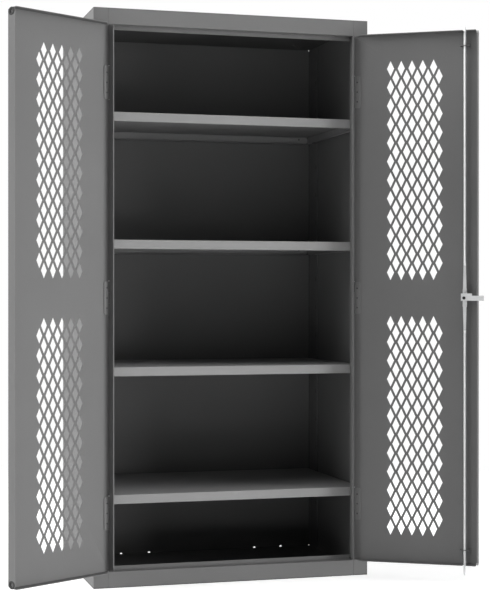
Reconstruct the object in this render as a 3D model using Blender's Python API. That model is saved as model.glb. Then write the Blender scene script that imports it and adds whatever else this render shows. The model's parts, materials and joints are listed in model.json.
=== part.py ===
"""Ventilated steel cabinet: two perforated doors, four shelves and a three-point latch.

Metres, +Z up, +Y to the back. The origin is the middle of the case's footprint on the floor.
The doors stand open. Door pieces are laid out as on a closed door: "along" runs over the door from
its hinge edge to its free edge, and "depth" runs from its outer face into the case.
"""

import math

import bmesh
import bpy
from mathutils import Matrix

# Case
CASE_WIDTH = 0.9144
CASE_DEPTH = 0.6096
CASE_HEIGHT = 1.8288
CASE_SHEET = 0.0019
SEAT_GAP = 0.0003
OVERRUN = 0.004

# Holes in the case's sheets
ANCHOR_HOLE_RADIUS = 0.005
ANCHOR_INSET_X = 0.0866
ANCHOR_INSET_Y = 0.0828
STITCH_SHARES = (-0.378, -0.273, -0.162, 0.267, 0.377)
STITCH_WIDTH = 0.008
STITCH_HEIGHT = 0.004
BACK_CORNER_CUT = 0.004

# Front frame
POST_FACE = 0.0476
RAIL_FACE = 0.0508
STOP_LIP = 0.0127
STOP_GAP = 0.00125

# Slotted strips on the sides, for the shelf clips
STRIP_WIDTH = 0.0254
STRIP_RISE = 0.0035
STRIP_END_GAP = 0.012
SLOT_PITCH = 0.1016
SLOT_LOWEST = 0.1699
SLOT_TOP_INSET = 0.130
SLOT_HEIGHT = 0.013
SLOT_WIDTH = 0.008
SLOT_INSET_FRONT = 0.0892
SLOT_INSET_BACK = 0.0892

# Shelves and their clips
SHELF_COUNT = 4
SHELF_FIRST_SLOT = 1
SHELF_RISE = 0.0158
SHELF_SHEET = 0.0015
SHELF_DROP = 0.0286
SHELF_LIP = 0.0127
SHELF_FRONT = 0.0381
SHELF_BACK_GAP = 0.0015
SHELF_SIDE_GAP = 0.0005
SHELF_HOLE_RADIUS = 0.003
SHELF_HOLE_INSET = 0.035
SHELF_HOLE_DROP = 0.0105
CLIP_SHEET = 0.0019
CLIP_WIDTH = 0.020
CLIP_LEDGE = 0.0125
CLIP_RISE = 0.0085
CLIP_PLAY = 0.0003

# Doors
DOOR_SHEET = 0.0019
DOOR_DEPTH = 0.03175
HINGE_FLANGE_DEPTH = 0.024
HEM_REACH = 0.010
DOOR_SIDE_GAP = 0.0024
DOOR_END_GAP = 0.0032
DOOR_CENTRE_GAP = 0.0068
ACTIVE_DOOR_EXTRA = 0.0122
CORNER_NOTCH = 0.0065
MITRE_INSET = 0.004
FLANGE_END_RISE = 0.0125
FLANGE_END_GAP = 0.0008
CORNER_HOLE_RADIUS = 0.007
LEFT_DOOR_OPEN = math.radians(149.0)
RIGHT_DOOR_OPEN = math.radians(148.7)

# Diamond holes in the doors: every other column stands half a row pitch higher
DIAMOND_WIDTH = 0.0238
DIAMOND_HEIGHT = 0.0508
DIAMOND_COLUMN_PITCH = 0.01764
DIAMOND_ROW_PITCH = 0.06056
DIAMOND_INSET = 0.1223
DIAMOND_END_INSET = 0.110
DIAMOND_FIELD_GAP = 0.1667

# Hinges
HINGE_HEIGHT = 0.105
HINGE_END_INSET = 0.1834
HINGE_KNUCKLES = 3
BARREL_RADIUS = 0.0056
PIN_RADIUS = 0.003
PIN_HEAD_RADIUS = 0.0045
PIN_HEAD_HEIGHT = 0.002
LEAF_SHEET = 0.002
LEAF_REACH = 0.0246
LEAF_HOLE_RADIUS = 0.0028
LEAF_HOLE_PITCH = 0.0318
LEAF_HOLE_INSET = 0.0115
LEAF_CORNER_RADIUS = 0.006
KNUCKLE_CLEARANCE = 0.00025
HINGE_CLEARANCE = 0.0008

# Latch
LATCH_INSET = 0.0434
SPINDLE_WIDTH = 0.008
SPINDLE_HOLE_RADIUS = 0.0068
SPINDLE_REACH = 0.012
CAM_HUB_RADIUS = 0.0085
CAM_ARM_RADIUS = 0.026
CAM_ARM_END_RADIUS = 0.007
CAM_ARM_SHEET = 0.0035
CAM_RIVET_RADIUS = 0.0025
CAM_BLOCK_WIDTH = 0.020
CAM_BLOCK_BELOW = 0.0088
CAM_BLOCK_ABOVE = 0.0145
TONGUE_SHEET = 0.003
TONGUE_ABOVE = 0.0074
TONGUE_REACH = 0.0633
TONGUE_CLEARANCE = 0.00155
TAB_REACH = 0.0251
SCREW_HEAD_RADIUS = 0.0052
SCREW_HEAD_HEIGHT = 0.0015
SCREW_RADIUS = 0.0038
SCREW_LENGTH = 0.010
SOCKET_RADIUS = 0.0027
SOCKET_DEPTH = 0.005

# Rods, links and guides
ROD_RADIUS = 0.004
ROD_DEPTH = 0.014
ROD_REACH = 0.0323
ROD_TIP_LENGTH = 0.006
ROD_TIP_RADIUS = 0.0022
ROD_LAP_PAST_JOINT = 0.0084
ROD_LAP_LENGTH = 0.020
ROD_HOLE_RADIUS = 0.0052
LINK_LENGTH = 0.075
LINK_SHEET = 0.003
LINK_END_RADIUS = 0.0058
LINK_ROD_END_RADIUS = 0.004
LINK_HOLE_RADIUS = 0.0029
LINK_BOSS_RADIUS = 0.003
LINK_BOSS_HEIGHT = 0.0006
GUIDE_INSET = 0.049
GUIDE_WIDTH = 0.033
GUIDE_SHEET = 0.0019
GUIDE_FOOT = 0.014
GUIDE_REACH = 0.020
GUIDE_HOLE_RADIUS = 0.0044

# Handle
ROSE_RADIUS = 0.023
ROSE_SHEET = 0.003
HANDLE_NECK_RADIUS = 0.012
HANDLE_NECK_LENGTH = 0.018
HANDLE_HEAD_RADIUS = 0.017
HANDLE_TIP_RADIUS = 0.009
HANDLE_THICKNESS = 0.012
HANDLE_LENGTH = 0.105
CYLINDER_RADIUS = 0.007
CYLINDER_LENGTH = 0.020
CYLINDER_PROUD = 0.001
KEYWAY_WIDTH = 0.0014
KEYWAY_HEIGHT = 0.008
KEYWAY_DEPTH = 0.006

# Facets
BARREL_STEPS = 12
HOLE_STEPS = 8
ROUND_STEPS = 16
LARGE_ROUND_STEPS = 24
SMOOTH_ANGLE = math.radians(40)

# Worked out from the sizes above
FRONT = -CASE_DEPTH / 2
BACK = CASE_DEPTH / 2
MIDDLE_HEIGHT = CASE_HEIGHT / 2
OPENING_HALF = CASE_WIDTH / 2 - POST_FACE
FRAME_DEPTH = DOOR_DEPTH + STOP_GAP + CASE_SHEET
SLOT_COUNT = int((CASE_HEIGHT - SLOT_LOWEST - SLOT_TOP_INSET) / SLOT_PITCH) + 1
SHELF_SLOT_STEP = SLOT_COUNT // SHELF_COUNT
DOOR_BOTTOM = RAIL_FACE + DOOR_END_GAP
DOOR_TOP = CASE_HEIGHT - RAIL_FACE - DOOR_END_GAP
DOOR_MEAN_WIDTH = OPENING_HALF - DOOR_SIDE_GAP - DOOR_CENTRE_GAP / 2
RIGHT_DOOR_WIDTH = DOOR_MEAN_WIDTH + ACTIVE_DOOR_EXTRA / 2
LEFT_DOOR_WIDTH = DOOR_MEAN_WIDTH - ACTIVE_DOOR_EXTRA / 2
DIAMOND_COLUMNS = int((DOOR_MEAN_WIDTH - 2 * DIAMOND_INSET) / DIAMOND_COLUMN_PITCH) + 1
DIAMOND_REACH = DOOR_TOP - MIDDLE_HEIGHT - DIAMOND_END_INSET - DIAMOND_FIELD_GAP / 2
DIAMOND_ROWS = int(DIAMOND_REACH / DIAMOND_ROW_PITCH) + 1
PIN_ACROSS = OPENING_HALF - DOOR_SIDE_GAP / 2
LEAF_DEPTH = DOOR_SHEET + SEAT_GAP
PIN_DEPTH = LEAF_DEPTH + LEAF_SHEET - BARREL_RADIUS
HINGE_NOTCH_HALF = HINGE_HEIGHT / 2 + SEAT_GAP + PIN_HEAD_HEIGHT + HINGE_CLEARANCE
HINGE_NOTCH_REACH = BARREL_RADIUS + HINGE_CLEARANCE - DOOR_SIDE_GAP / 2
HINGE_NOTCH_DEPTH = LEAF_DEPTH + LEAF_SHEET + HINGE_CLEARANCE
HINGE_HEIGHTS = {
    "upper": DOOR_TOP - HINGE_END_INSET,
    "middle": MIDDLE_HEIGHT,
    "lower": DOOR_BOTTOM + HINGE_END_INSET,
}
LATCH_ALONG = RIGHT_DOOR_WIDTH - LATCH_INSET
ROD_ACROSS = PIN_ACROSS - DOOR_SIDE_GAP / 2 - LATCH_ALONG
ARM_DEPTH = ROD_DEPTH - SEAT_GAP - CAM_ARM_SHEET
LINK_DEPTH = ROD_DEPTH
TONGUE_DEPTH = DOOR_DEPTH + TONGUE_CLEARANCE
CAM_FRONT = TONGUE_DEPTH + TONGUE_SHEET
STRIP_FACE = CASE_WIDTH / 2 - CASE_SHEET - STRIP_RISE
SHELF_HALF = STRIP_FACE - SEAT_GAP - CLIP_SHEET - SHELF_SIDE_GAP
FLANGE_END_BELOW = FLANGE_END_GAP + FLANGE_END_RISE
SIDES = {"left": -1, "right": 1}


# Scene and materials

def clear_scene():
    """Remove every object that the scene holds."""
    for old in list(bpy.data.objects):
        bpy.data.objects.remove(old, do_unlink=True)


def make_material(name, colour, roughness, metallic):
    """Return a Principled material."""
    material = bpy.data.materials.new(name)
    material.use_nodes = True
    shader = material.node_tree.nodes["Principled BSDF"]
    shader.inputs["Base Color"].default_value = (*colour, 1.0)
    shader.inputs["Roughness"].default_value = roughness
    shader.inputs["Metallic"].default_value = metallic
    return material


def add_piece(name, mesh, material, parent=None, place=(0, 0, 0), turn=0.0):
    """Add one named sub-part that shows the given mesh."""
    if not mesh.materials:
        mesh.materials.append(material)
    mesh.shade_smooth()
    mesh.set_sharp_from_angle(angle=SMOOTH_ANGLE)
    piece = bpy.data.objects.new(name, mesh)
    bpy.context.collection.objects.link(piece)
    piece.parent = parent
    piece.location = place
    piece.rotation_euler = (0, 0, turn)
    return piece


def add_axis(name, place, turn=0.0, parent=None):
    """Add an empty that carries the pieces of one moving body."""
    axis = bpy.data.objects.new(name, None)
    bpy.context.collection.objects.link(axis)
    axis.parent = parent
    axis.location = place
    axis.rotation_euler = (0, 0, turn)
    return axis


# Solids

def to_mesh(shape):
    """Turn a bmesh into a mesh whose faces point out."""
    bmesh.ops.recalc_face_normals(shape, faces=shape.faces)
    mesh = bpy.data.meshes.new("solid")
    shape.to_mesh(mesh)
    shape.free()
    return mesh


def prism(outline, low, high, axis):
    """Extrude a flat outline from low to high along one axis."""
    lift = {
        "X": lambda u, v, w: (w, u, v),
        "Y": lambda u, v, w: (u, w, v),
        "Z": lambda u, v, w: (u, v, w),
    }[axis]
    shape = bmesh.new()
    start = [shape.verts.new(lift(u, v, low)) for u, v in outline]
    end = [shape.verts.new(lift(u, v, high)) for u, v in outline]
    shape.faces.new(start)
    shape.faces.new(end)
    for index, corner in enumerate(start):
        after = (index + 1) % len(start)
        shape.faces.new((corner, start[after], end[after], end[index]))
    return to_mesh(shape)


def box(low, high):
    """A box between two corners, given in any order."""
    (x0, y0, z0), (x1, y1, z1) = low, high
    return prism([(x0, y0), (x1, y0), (x1, y1), (x0, y1)], z0, z1, "Z")


def oval_arc(centre, across, rise, start, end, steps):
    """Points along part of an oval, both ends included."""
    points = []
    for step in range(steps + 1):
        angle = start + (end - start) * step / steps
        points.append((centre[0] + across * math.cos(angle), centre[1] + rise * math.sin(angle)))
    return points


def arc(centre, radius, start, end, steps):
    """Points along an arc, both ends included."""
    return oval_arc(centre, radius, radius, start, end, steps)


def circle(centre, radius, steps):
    """Points round a full circle."""
    return arc(centre, radius, 0, math.tau, steps)[:-1]


def rod_outline(length, near_radius, far_radius, steps):
    """A bar with round ends, from the origin to a point straight above or below it."""
    up = 1 if length > 0 else -1
    near = arc((0, 0), near_radius, 0, -up * math.pi, steps)
    far = arc((0, length), far_radius, up * math.pi, 0, steps)
    return near + far


def turned(profile, steps):
    """A solid of revolution about Z, from (radius, height) pairs."""
    shape = bmesh.new()
    rings = []
    for radius, height in profile:
        rings.append([shape.verts.new((x, y, height)) for x, y in circle((0, 0), radius, steps)])
    shape.faces.new(rings[0])
    shape.faces.new(rings[-1])
    for lower, upper in zip(rings, rings[1:]):
        for index in range(steps):
            after = (index + 1) % steps
            shape.faces.new((lower[index], lower[after], upper[after], upper[index]))
    return to_mesh(shape)


def gather(meshes):
    """Join meshes that don't touch into one mesh, for use as one cutter."""
    shape = bmesh.new()
    for mesh in meshes:
        shape.from_mesh(mesh)
        bpy.data.meshes.remove(mesh)
    mesh = bpy.data.meshes.new("solid")
    shape.to_mesh(mesh)
    shape.free()
    return mesh


def combine(base, tool, operation):
    """Apply one Boolean of two meshes and return the result."""
    base_object = bpy.data.objects.new("base", base)
    tool_object = bpy.data.objects.new("tool", tool)
    for thing in (base_object, tool_object):
        bpy.context.collection.objects.link(thing)
    modifier = base_object.modifiers.new("combine", "BOOLEAN")
    modifier.operation = operation
    modifier.solver = "EXACT"
    modifier.object = tool_object
    depsgraph = bpy.context.evaluated_depsgraph_get()
    result = bpy.data.meshes.new_from_object(base_object.evaluated_get(depsgraph))
    for thing in (base_object, tool_object):
        bpy.data.objects.remove(thing, do_unlink=True)
    bpy.data.meshes.remove(base)
    bpy.data.meshes.remove(tool)
    return result


def unite(base, *tools):
    """Join overlapping solids into one."""
    for tool in tools:
        base = combine(base, tool, "UNION")
    return base


def cut(base, *tools):
    """Take solids away from another."""
    for tool in tools:
        base = combine(base, tool, "DIFFERENCE")
    return base


# Case

def end_sheet(bottom):
    """The top or bottom sheet, with its four anchor holes."""
    sheet = box((-CASE_WIDTH / 2, FRONT, bottom), (CASE_WIDTH / 2, BACK, bottom + CASE_SHEET))
    holes = []
    for x in (-1, 1):
        for y in (-1, 1):
            centre = (x * (CASE_WIDTH / 2 - ANCHOR_INSET_X), y * (CASE_DEPTH / 2 - ANCHOR_INSET_Y))
            outline = circle(centre, ANCHOR_HOLE_RADIUS, HOLE_STEPS)
            holes.append(prism(outline, bottom - OVERRUN, bottom + CASE_SHEET + OVERRUN, "Z"))
    return cut(sheet, gather(holes))


def side_sheet(side):
    """A side sheet with the two slotted strips that are welded to its inner face."""
    inner = side * (CASE_WIDTH / 2 - CASE_SHEET)
    outer = side * CASE_WIDTH / 2
    face = side * STRIP_FACE
    inset = CASE_SHEET + SEAT_GAP
    sheet = box((inner, FRONT + inset, inset), (outer, BACK, CASE_HEIGHT - inset))
    end = inset + STRIP_END_GAP
    strips = []
    slots = []
    for y in (FRONT + SLOT_INSET_FRONT, BACK - SLOT_INSET_BACK):
        low = (face, y - STRIP_WIDTH / 2, end)
        high = (inner + side * CASE_SHEET / 2, y + STRIP_WIDTH / 2, CASE_HEIGHT - end)
        strips.append(box(low, high))
        for index in range(SLOT_COUNT):
            z = slot_height(index)
            low = (face - side * OVERRUN, y - SLOT_WIDTH / 2, z - SLOT_HEIGHT / 2)
            high = (inner, y + SLOT_WIDTH / 2, z + SLOT_HEIGHT / 2)
            slots.append(box(low, high))
    return cut(unite(sheet, gather(strips)), gather(slots))


def slot_height(index):
    """Height of the middle of a slot."""
    return SLOT_LOWEST + index * SLOT_PITCH


def back_sheet():
    """The back sheet, with cut corners and a row of stitch notches along its lower edge."""
    right = CASE_WIDTH / 2 - CASE_SHEET - SEAT_GAP
    bottom = CASE_SHEET + SEAT_GAP
    top = CASE_HEIGHT - bottom
    outline = [
        (-right, bottom + BACK_CORNER_CUT),
        (-right + BACK_CORNER_CUT, bottom),
        (right - BACK_CORNER_CUT, bottom),
        (right, bottom + BACK_CORNER_CUT),
        (right, top - BACK_CORNER_CUT),
        (right - BACK_CORNER_CUT, top),
        (-right + BACK_CORNER_CUT, top),
        (-right, top - BACK_CORNER_CUT),
    ]
    sheet = prism(outline, BACK - CASE_SHEET, BACK, "Y")
    notches = []
    for share in STITCH_SHARES:
        x = share * CASE_WIDTH
        low = (x - STITCH_WIDTH / 2, BACK - CASE_SHEET - OVERRUN, bottom - OVERRUN)
        high = (x + STITCH_WIDTH / 2, BACK + OVERRUN, bottom + STITCH_HEIGHT)
        notches.append(box(low, high))
    return cut(sheet, gather(notches))


def front_post(side):
    """A front post: its face, and its return into the case, notched for the hinges."""
    bottom = CASE_SHEET + SEAT_GAP
    inner = side * OPENING_HALF
    outline = [
        (inner, FRONT),
        (side * CASE_WIDTH / 2, FRONT),
        (side * CASE_WIDTH / 2, FRONT + CASE_SHEET),
        (inner + side * CASE_SHEET, FRONT + CASE_SHEET),
        (inner + side * CASE_SHEET, FRONT + FRAME_DEPTH),
        (inner, FRONT + FRAME_DEPTH),
    ]
    post = prism(outline, bottom, CASE_HEIGHT - bottom, "Z")
    edge = inner + side * HINGE_NOTCH_REACH
    notches = []
    for z in HINGE_HEIGHTS.values():
        low = (inner - side * OVERRUN, FRONT - OVERRUN, z - HINGE_NOTCH_HALF)
        high = (edge, FRONT + HINGE_NOTCH_DEPTH, z + HINGE_NOTCH_HALF)
        notches.append(box(low, high))
    return cut(post, gather(notches))


def rail(upward):
    """The header (upward 1) or the sill (upward -1): its face, its return and its stop lip."""
    outer = CASE_HEIGHT - CASE_SHEET - SEAT_GAP if upward > 0 else CASE_SHEET + SEAT_GAP
    edge = CASE_HEIGHT - RAIL_FACE if upward > 0 else RAIL_FACE
    inside = edge + upward * CASE_SHEET
    lip = edge - upward * STOP_LIP
    outline = [
        (FRONT, outer),
        (FRONT, edge),
        (FRONT + FRAME_DEPTH - CASE_SHEET, edge),
        (FRONT + FRAME_DEPTH - CASE_SHEET, lip),
        (FRONT + FRAME_DEPTH, lip),
        (FRONT + FRAME_DEPTH, inside),
        (FRONT + CASE_SHEET, inside),
        (FRONT + CASE_SHEET, outer),
    ]
    half = OPENING_HALF - SEAT_GAP
    hole = circle((ROD_ACROSS, FRONT + ROD_DEPTH), ROD_HOLE_RADIUS, ROUND_STEPS)
    cutter = prism(hole, edge - upward * OVERRUN, inside + upward * OVERRUN, "Z")
    return cut(prism(outline, -half, half, "X"), cutter)


def build_case(steel):
    """The case's sheets, posts and rails."""
    add_piece("bottom_panel", end_sheet(0), steel)
    add_piece("top_panel", end_sheet(CASE_HEIGHT - CASE_SHEET), steel)
    add_piece("back_panel", back_sheet(), steel)
    for name, side in SIDES.items():
        add_piece(f"{name}_side_panel", side_sheet(side), steel)
        add_piece(f"{name}_front_post", front_post(side), steel)
    add_piece("header_rail", rail(1), steel)
    add_piece("sill_rail", rail(-1), steel)


# Shelves

def shelf_pan():
    """A shelf: a sheet with turned-down flanges, their lips, and two holes in its back flange."""
    half = SHELF_HALF
    front = FRONT + SHELF_FRONT
    back = BACK - CASE_SHEET - SHELF_BACK_GAP
    pan = box((-half, front, -SHELF_DROP), (half, back, 0))
    inner = half - SHELF_SHEET
    low = (-inner, front + SHELF_SHEET, SHELF_SHEET - SHELF_DROP)
    high = (inner, back - SHELF_SHEET, -SHELF_SHEET)
    mouth_low = (SHELF_LIP - half, front + SHELF_LIP, -SHELF_DROP - OVERRUN)
    mouth_high = (half - SHELF_LIP, back - SHELF_LIP, SHELF_SHEET * 2 - SHELF_DROP)
    holes = []
    for side in SIDES.values():
        centre = (side * (half - SHELF_HOLE_INSET), -SHELF_HOLE_DROP)
        outline = circle(centre, SHELF_HOLE_RADIUS, HOLE_STEPS)
        holes.append(prism(outline, back - SHELF_SHEET * 2, back + OVERRUN, "Y"))
    return cut(pan, unite(box(low, high), box(mouth_low, mouth_high)), gather(holes))


def shelf_clip():
    """A clip about its slot's middle on the face of a right strip."""
    ledge_top = SHELF_RISE - SHELF_DROP - SEAT_GAP
    outline = [
        (-SEAT_GAP, CLIP_RISE),
        (-SEAT_GAP, ledge_top - CLIP_SHEET),
        (-CLIP_LEDGE, ledge_top - CLIP_SHEET),
        (-CLIP_LEDGE, ledge_top),
        (-SEAT_GAP - CLIP_SHEET, ledge_top),
        (-SEAT_GAP - CLIP_SHEET, CLIP_RISE),
    ]
    plate = prism(outline, -CLIP_WIDTH / 2, CLIP_WIDTH / 2, "Y")
    tongue_half_width = SLOT_WIDTH / 2 - CLIP_PLAY
    tongue_half_height = SLOT_HEIGHT / 2 - CLIP_PLAY
    low = (-SEAT_GAP - CLIP_SHEET / 2, -tongue_half_width, -tongue_half_height)
    high = (STRIP_RISE - CLIP_PLAY, tongue_half_width, tongue_half_height)
    return unite(plate, box(low, high))


def build_shelves(steel, clip_steel):
    """Four shelves, each on four clips."""
    pan = shelf_pan()
    clip = shelf_clip()
    rows = {"front": FRONT + SLOT_INSET_FRONT, "back": BACK - SLOT_INSET_BACK}
    for number in range(1, SHELF_COUNT + 1):
        z = slot_height(SHELF_FIRST_SLOT + (number - 1) * SHELF_SLOT_STEP)
        add_piece(f"shelf_{number}", pan, steel, place=(0, 0, z + SHELF_RISE))
        for side_name, side in SIDES.items():
            for row_name, y in rows.items():
                name = f"shelf_{number}_clip_{side_name}_{row_name}"
                turn = 0 if side > 0 else math.pi
                add_piece(name, clip, clip_steel, place=(side * STRIP_FACE, y, z), turn=turn)


# Hinges

def knuckle_ranges():
    """Low and high end of each knuckle about the hinge's middle."""
    pitch = HINGE_HEIGHT / HINGE_KNUCKLES
    ranges = []
    for index in range(HINGE_KNUCKLES):
        low = index * pitch - HINGE_HEIGHT / 2
        ranges.append((low, low + pitch))
    return ranges


def hinge_leaf(reach_sign, kept, holes):
    """A leaf about the pin: its plate lies level with the barrel's inner side."""
    meets = math.asin((BARREL_RADIUS - LEAF_SHEET) / BARREL_RADIUS)
    barrel = arc((0, 0), BARREL_RADIUS, math.pi / 2, math.tau + meets, BARREL_STEPS)
    plate = [(LEAF_REACH, BARREL_RADIUS - LEAF_SHEET), (LEAF_REACH, BARREL_RADIUS)]
    outline = [(reach_sign * u, v) for u, v in barrel + plate]
    leaf = prism(outline, -HINGE_HEIGHT / 2, HINGE_HEIGHT / 2, "Z")
    away = BARREL_RADIUS + OVERRUN
    near = BARREL_RADIUS + HINGE_CLEARANCE
    gaps = []
    for index, (low, high) in enumerate(knuckle_ranges()):
        if index % 2 == kept:
            continue
        bottom = low - (OVERRUN if index == 0 else KNUCKLE_CLEARANCE)
        top = high + (OVERRUN if index == HINGE_KNUCKLES - 1 else KNUCKLE_CLEARANCE)
        gaps.append(box((-reach_sign * away, -away, bottom), (reach_sign * near, away, top)))
    bore = circle((0, 0), PIN_RADIUS + SEAT_GAP, BARREL_STEPS)
    ends = HINGE_HEIGHT / 2 + OVERRUN
    leaf = cut(leaf, gather(gaps), prism(bore, -ends, ends, "Z"), leaf_corners(reach_sign))
    if not holes:
        return leaf
    cutters = []
    for step in (-1, 0, 1):
        centre = (reach_sign * (LEAF_REACH - LEAF_HOLE_INSET), step * LEAF_HOLE_PITCH)
        outline = circle(centre, LEAF_HOLE_RADIUS, HOLE_STEPS)
        cutters.append(prism(outline, 0, BARREL_RADIUS + OVERRUN, "Y"))
    return cut(leaf, gather(cutters))


def leaf_corners(reach_sign):
    """What a leaf's plate lacks at its two rounded corners."""
    cutters = []
    for upward in (-1, 1):
        centre = (LEAF_REACH - LEAF_CORNER_RADIUS, upward * (HINGE_HEIGHT / 2 - LEAF_CORNER_RADIUS))
        points = arc(centre, LEAF_CORNER_RADIUS, 0, upward * math.pi / 2, HOLE_STEPS)
        beyond = upward * (HINGE_HEIGHT / 2 + OVERRUN)
        points += [(centre[0], beyond), (LEAF_REACH + OVERRUN, beyond), (LEAF_REACH + OVERRUN, centre[1])]
        outline = [(reach_sign * u, v) for u, v in points]
        cutters.append(prism(outline, 0, BARREL_RADIUS + OVERRUN, "Y"))
    return gather(cutters)


def hinge_pin():
    """A pin with a button head on top of the barrel."""
    seat = HINGE_HEIGHT / 2 + SEAT_GAP
    profile = [
        (PIN_RADIUS, -HINGE_HEIGHT / 2),
        (PIN_RADIUS, seat),
        (PIN_HEAD_RADIUS, seat),
        (PIN_HEAD_RADIUS, seat + PIN_HEAD_HEIGHT / 2),
        (PIN_RADIUS, seat + PIN_HEAD_HEIGHT),
    ]
    return turned(profile, BARREL_STEPS)


def build_hinges(door_axes, steel, zinc):
    """Three hinges for each door. A frame leaf has the outer knuckles, a door leaf the ones between."""
    pin = hinge_pin()
    for side_name, side in SIDES.items():
        frame_leaf = hinge_leaf(side, 0, False)
        door_leaf = hinge_leaf(-side, 1, True)
        for height_name, z in HINGE_HEIGHTS.items():
            stem = f"{side_name}_{height_name}_hinge"
            place = (side * PIN_ACROSS, FRONT + PIN_DEPTH, z)
            add_piece(f"{stem}_frame_leaf", frame_leaf, steel, place=place)
            add_piece(f"{stem}_pin", pin, zinc, place=place)
            add_piece(f"{stem}_door_leaf", door_leaf, steel, door_axes[side_name], (0, 0, z))


# Doors

def door_x(side, along):
    """Closed-door place across, from the pin, of a point at a distance from the hinge edge."""
    return -side * (along + DOOR_SIDE_GAP / 2)


def door_y(depth):
    """Closed-door place from the pin of a point at a depth behind the outer face."""
    return depth - PIN_DEPTH


def door_box(side, low, high):
    """A box given as (along, depth, height) corners."""
    return box(
        (door_x(side, low[0]), door_y(low[1]), low[2]),
        (door_x(side, high[0]), door_y(high[1]), high[2]),
    )


def diamonds(side):
    """Cutters for the two fields of diamond holes."""
    cutters = []
    half_width = DIAMOND_WIDTH / 2
    half_height = DIAMOND_HEIGHT / 2
    field_height = (DIAMOND_ROWS - 1) * DIAMOND_ROW_PITCH
    for field in (-1, 1):
        middle = MIDDLE_HEIGHT + field * (DIAMOND_FIELD_GAP + field_height) / 2
        for column in range(DIAMOND_COLUMNS):
            x = door_x(side, DIAMOND_INSET + column * DIAMOND_COLUMN_PITCH)
            rows = DIAMOND_ROWS - column % 2
            for row in range(rows):
                z = middle + (row - (rows - 1) / 2) * DIAMOND_ROW_PITCH
                outline = [
                    (x - half_width, z),
                    (x, z - half_height),
                    (x + half_width, z),
                    (x, z + half_height),
                ]
                cutters.append(prism(outline, door_y(-OVERRUN), door_y(DOOR_SHEET + OVERRUN), "Y"))
    return gather(cutters)


def door_face(side, width):
    """The face sheet, notched at its free corners."""
    notch = width - CORNER_NOTCH
    outline = [
        (0, DOOR_BOTTOM),
        (notch, DOOR_BOTTOM),
        (notch, DOOR_BOTTOM + CORNER_NOTCH),
        (width, DOOR_BOTTOM + CORNER_NOTCH),
        (width, DOOR_TOP - CORNER_NOTCH),
        (notch, DOOR_TOP - CORNER_NOTCH),
        (notch, DOOR_TOP),
        (0, DOOR_TOP),
    ]
    points = [(door_x(side, along), z) for along, z in outline]
    return prism(points, door_y(0), door_y(DOOR_SHEET), "Y")


def end_flange(side, width, low, high):
    """The top or bottom flange, mitred at the hinge edge."""
    outline = [
        (MITRE_INSET, 0),
        (width - CORNER_NOTCH, 0),
        (width - CORNER_NOTCH, DOOR_DEPTH),
        (MITRE_INSET + DOOR_DEPTH, DOOR_DEPTH),
    ]
    points = [(door_x(side, along), door_y(depth)) for along, depth in outline]
    return prism(points, low, high, "Z")


def free_flange(side, width):
    """The flange on the free edge, with round ends and a hole in each."""
    middle = door_y(DOOR_DEPTH / 2)
    points = []
    holes = []
    for upward, start in ((1, 0), (-1, math.pi)):
        end = DOOR_TOP if upward > 0 else DOOR_BOTTOM
        centre = (middle, end - upward * FLANGE_END_BELOW)
        points += oval_arc(centre, DOOR_DEPTH / 2, FLANGE_END_RISE, start, start + math.pi, ROUND_STEPS)
        hole = circle(centre, CORNER_HOLE_RADIUS, ROUND_STEPS)
        inside = door_x(side, width - DOOR_SHEET - OVERRUN)
        holes.append(prism(hole, inside, door_x(side, width + OVERRUN), "X"))
    flange = prism(points, door_x(side, width - DOOR_SHEET), door_x(side, width), "X")
    return cut(flange, gather(holes))


def door_pan(side, width, latch_cutters):
    """A door: face sheet, four flanges, hems on the upright flanges, notches, and holes."""
    low_end = DOOR_BOTTOM + DOOR_SHEET
    high_end = DOOR_TOP - DOOR_SHEET
    low_hem = DOOR_BOTTOM + FLANGE_END_BELOW
    high_hem = DOOR_TOP - FLANGE_END_BELOW
    thick = DOOR_SHEET * 2
    pan = unite(
        door_face(side, width),
        end_flange(side, width, DOOR_BOTTOM, low_end),
        end_flange(side, width, high_end, DOOR_TOP),
        door_box(side, (0, 0, low_end), (DOOR_SHEET, HINGE_FLANGE_DEPTH, high_end)),
        door_box(side, (0, HINGE_FLANGE_DEPTH - HEM_REACH, low_hem), (thick, HINGE_FLANGE_DEPTH, high_hem)),
        free_flange(side, width),
        door_box(side, (width - thick, DOOR_DEPTH - HEM_REACH, low_hem), (width, DOOR_DEPTH, high_hem)),
    )
    notches = []
    for z in HINGE_HEIGHTS.values():
        low = (-OVERRUN, -OVERRUN, z - HINGE_NOTCH_HALF)
        high = (HINGE_NOTCH_REACH, HINGE_NOTCH_DEPTH, z + HINGE_NOTCH_HALF)
        notches.append(door_box(side, low, high))
    return cut(pan, gather(notches), *latch_cutters, diamonds(side))


def latch_holes():
    """Cutters in the right door: a hole for the spindle, and a slot for each rod, open to the inner side."""
    across = door_x(1, LATCH_ALONG)
    spindle = circle((across, MIDDLE_HEIGHT), SPINDLE_HOLE_RADIUS, ROUND_STEPS)
    cutters = [prism(spindle, door_y(-OVERRUN), door_y(DOOR_SHEET + OVERRUN), "Y")]
    slot = arc((across, door_y(ROD_DEPTH)), ROD_HOLE_RADIUS, -math.pi, 0, HOLE_STEPS)
    beyond = door_y(DOOR_DEPTH + OVERRUN)
    slot += [(across + ROD_HOLE_RADIUS, beyond), (across - ROD_HOLE_RADIUS, beyond)]
    for z in (DOOR_BOTTOM, DOOR_TOP):
        cutters.append(prism(slot, z - OVERRUN, z + OVERRUN, "Z"))
    return gather(cutters)


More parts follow.
